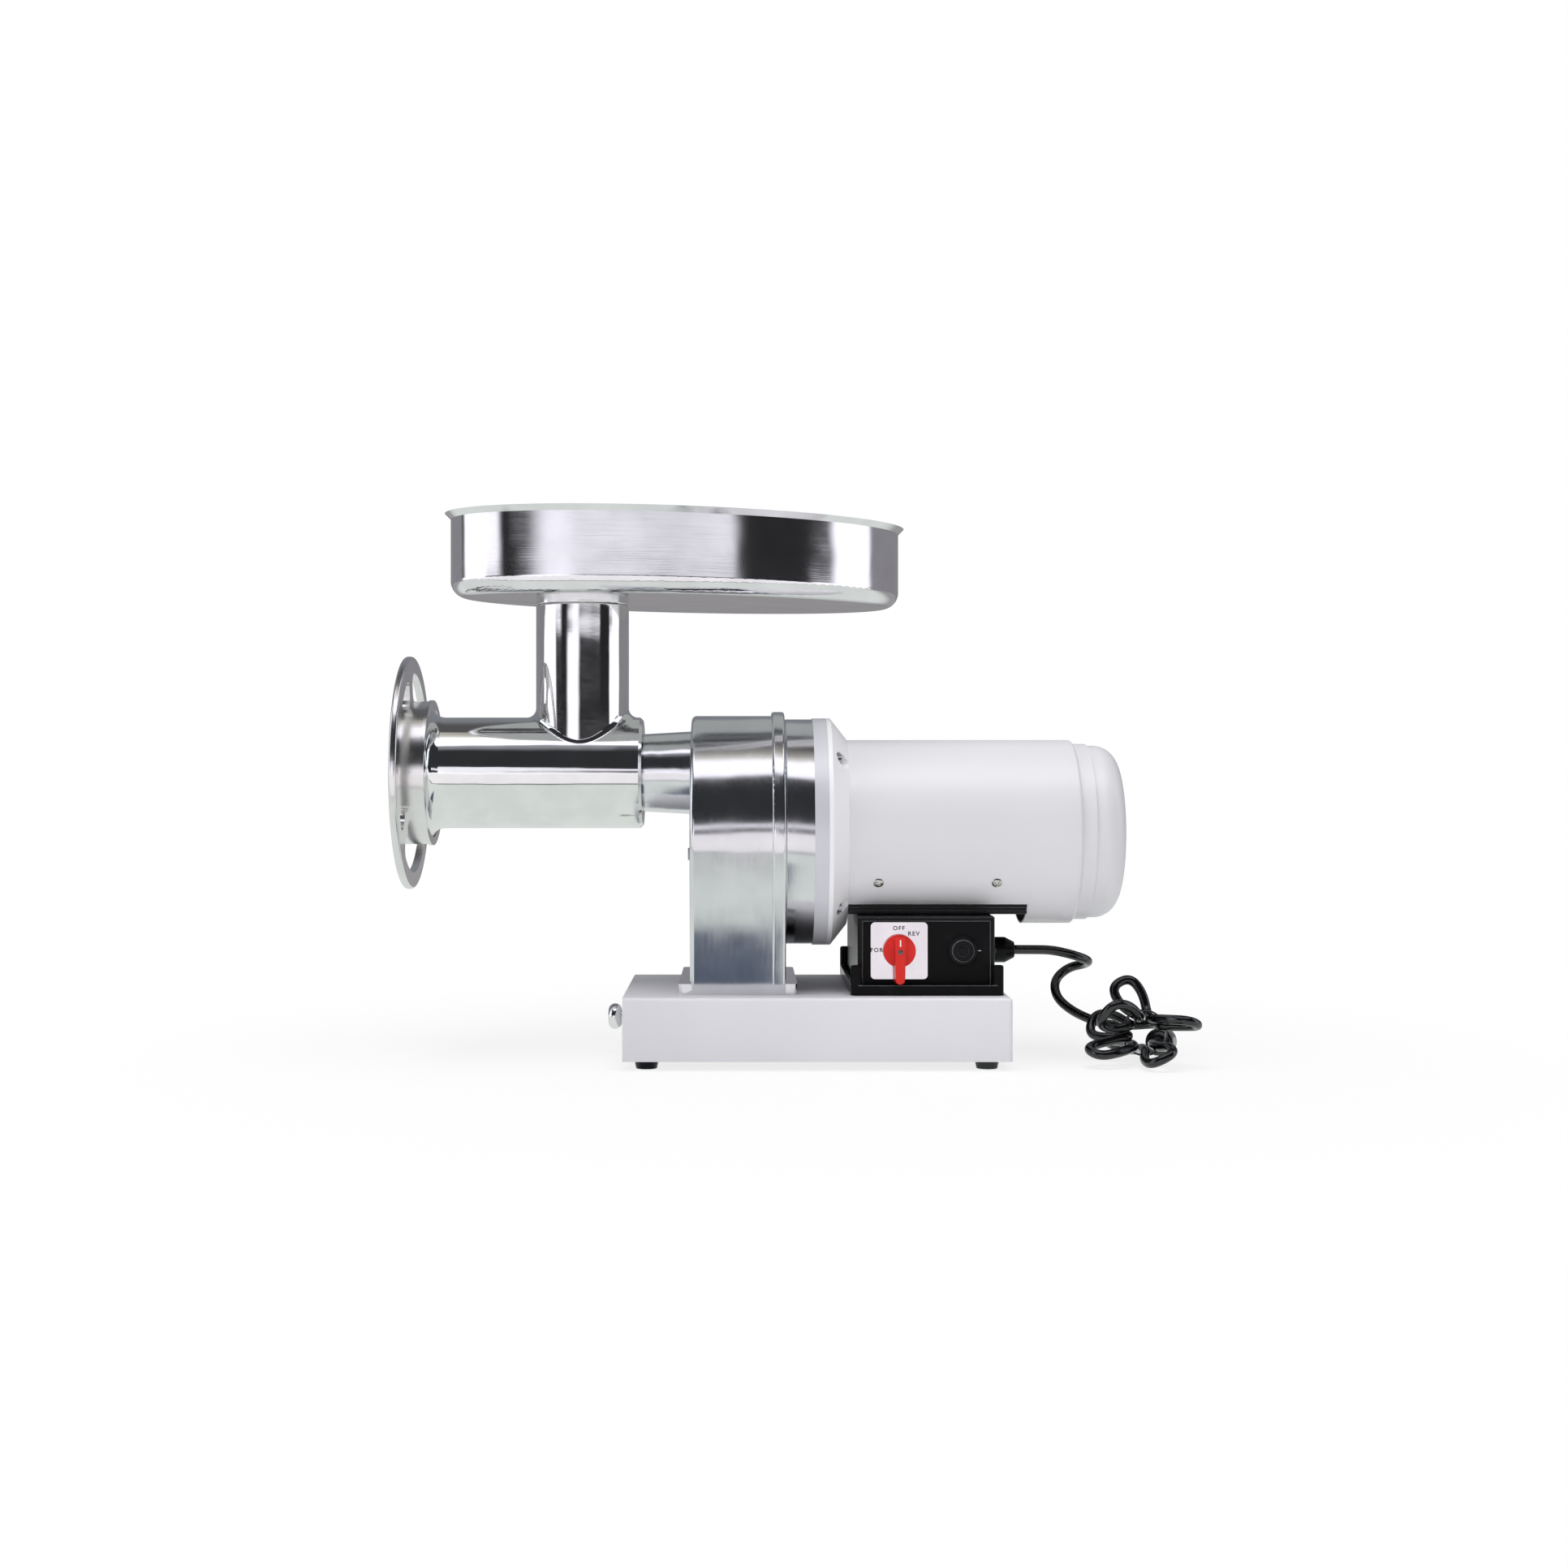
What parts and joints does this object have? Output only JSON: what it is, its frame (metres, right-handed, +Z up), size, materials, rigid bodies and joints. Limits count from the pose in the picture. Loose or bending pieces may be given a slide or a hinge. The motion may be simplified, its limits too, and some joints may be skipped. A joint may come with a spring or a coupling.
{
  "type": "electric meat grinder",
  "caption": "Electric meat grinder with an oval feed tray, a feed screw behind a knife and perforated plate, a geared motor, a lever switch and a drawer in its base.",
  "frame": {"origin": "on the floor under the middle of the sheet base", "axes": "+X along the shafts towards the motor, +Y to the rear away from the switch, +Z up through the feed throat"},
  "size_m": [0.6676, 0.2885, 0.465],
  "materials": {
    "white_paint": "gloss",
    "polished_aluminium": "polished",
    "grey_casting": "satin",
    "stainless_sheet": "polished",
    "tool_steel": "satin",
    "chrome": "polished",
    "machine_steel": "satin",
    "dark_iron": "matte",
    "copper_wire": "satin",
    "black_plastic": "matte",
    "red_plastic": "gloss",
    "plug_metal": "polished",
    "black_rubber": "matte"
  },
  "bodies": {
    "frame": {"base_shell": "white_paint", "rubber_feet": "black_rubber", "gearbox_housing": "polished_aluminium", "pedestal_bolts": "machine_steel", "gearbox_plug": "machine_steel", "gearbox_cover": "polished_aluminium", "motor_adapter": "grey_casting", "motor_end_bell": "white_paint", "tie_bolts": "machine_steel", "motor_shroud": "white_paint", "motor_end_cap": "white_paint", "motor_foot_plate": "dark_iron", "stator_core": "dark_iron", "stator_windings": "copper_wire", "motor_bearings": "machine_steel", "gearbox_bearings": "machine_steel", "shaft_seal": "black_rubber", "grinder_head": "polished_aluminium", "grinding_plate": "tool_steel", "switch_box_tray": "black_plastic", "switch_box": "black_plastic", "switch_panel": "black_plastic", "switch_plate": "stainless_sheet", "switch_body": "black_plastic", "reset_bezel": "black_plastic", "breaker_body": "black_plastic", "start_capacitor": "black_plastic", "cord_gland": "black_plastic", "cord_lead": "black_rubber", "cord_hank": "black_rubber", "cord_tie": "black_plastic", "mains_plug": "black_rubber", "plug_pins": "plug_metal"},
    "auger": {"feed_screw": "tool_steel", "knife": "tool_steel", "drive_shaft": "machine_steel", "output_gear": "machine_steel"},
    "layshaft_set": {"layshaft": "machine_steel", "layshaft_gear": "machine_steel", "layshaft_pinion": "machine_steel"},
    "rotor": {"motor_shaft": "machine_steel", "motor_pinion": "machine_steel", "rotor_core": "dark_iron", "cooling_fan": "black_plastic"},
    "ring": {"retaining_ring": "polished_aluminium"},
    "tray": {"feed_tray": "stainless_sheet", "tray_neck": "stainless_sheet"},
    "drawer_body": {"drawer": "white_paint", "drawer_knob": "chrome"},
    "switch": {"switch_knob": "red_plastic"},
    "reset": {"reset_button": "black_plastic"},
    "lock": {"lock_screw": "chrome"}
  },
  "joints": [
    {"name": "auger_spin", "type": "hinge", "parent": "frame", "child": "auger", "pos_m": [-0.12, 0, 0.243], "axis": [1, 0, 0], "continuous": true},
    {"name": "layshaft_spin", "type": "hinge", "parent": "frame", "child": "layshaft_set", "pos_m": [-0.06, 0.03949, 0.21399], "axis": [1, 0, 0], "continuous": true},
    {"name": "motor_spin", "type": "hinge", "parent": "frame", "child": "rotor", "pos_m": [0.1, 0, 0.1924], "axis": [1, 0, 0], "continuous": true},
    {"name": "ring_turn", "type": "hinge", "parent": "frame", "child": "ring", "pos_m": [-0.3441, 0, 0.243], "axis": [-1, 0, 0], "range_deg": [0, 1080]},
    {"name": "tray_turn", "type": "hinge", "parent": "frame", "child": "tray", "pos_m": [-0.199, 0, 0.387], "axis": [0, 0, 1], "continuous": true},
    {"name": "drawer_slide", "type": "slide", "parent": "frame", "child": "drawer_body", "axis": [-1, 0, 0], "range_m": [0, 0.2]},
    {"name": "switch_turn", "type": "hinge", "parent": "frame", "child": "switch", "pos_m": [0.0685, -0.0765, 0.0957], "axis": [0, -1, 0], "range_deg": [-45, 90]},
    {"name": "reset_press", "type": "slide", "parent": "frame", "child": "reset", "axis": [0, 1, 0], "range_m": [0, 0.003], "stiffness_N_per_m": 600},
    {"name": "lock_turn", "type": "hinge", "parent": "frame", "child": "lock", "pos_m": [-0.1315, 0.0396, 0.243], "axis": [0, 1, 0], "range_deg": [0, 1080]}
  ],
  "couplings": [
    {"joint": "layshaft_spin", "follows": "auger_spin", "ratio": -2.7692},
    {"joint": "motor_spin", "follows": "auger_spin", "ratio": 9.0989}
  ]
}
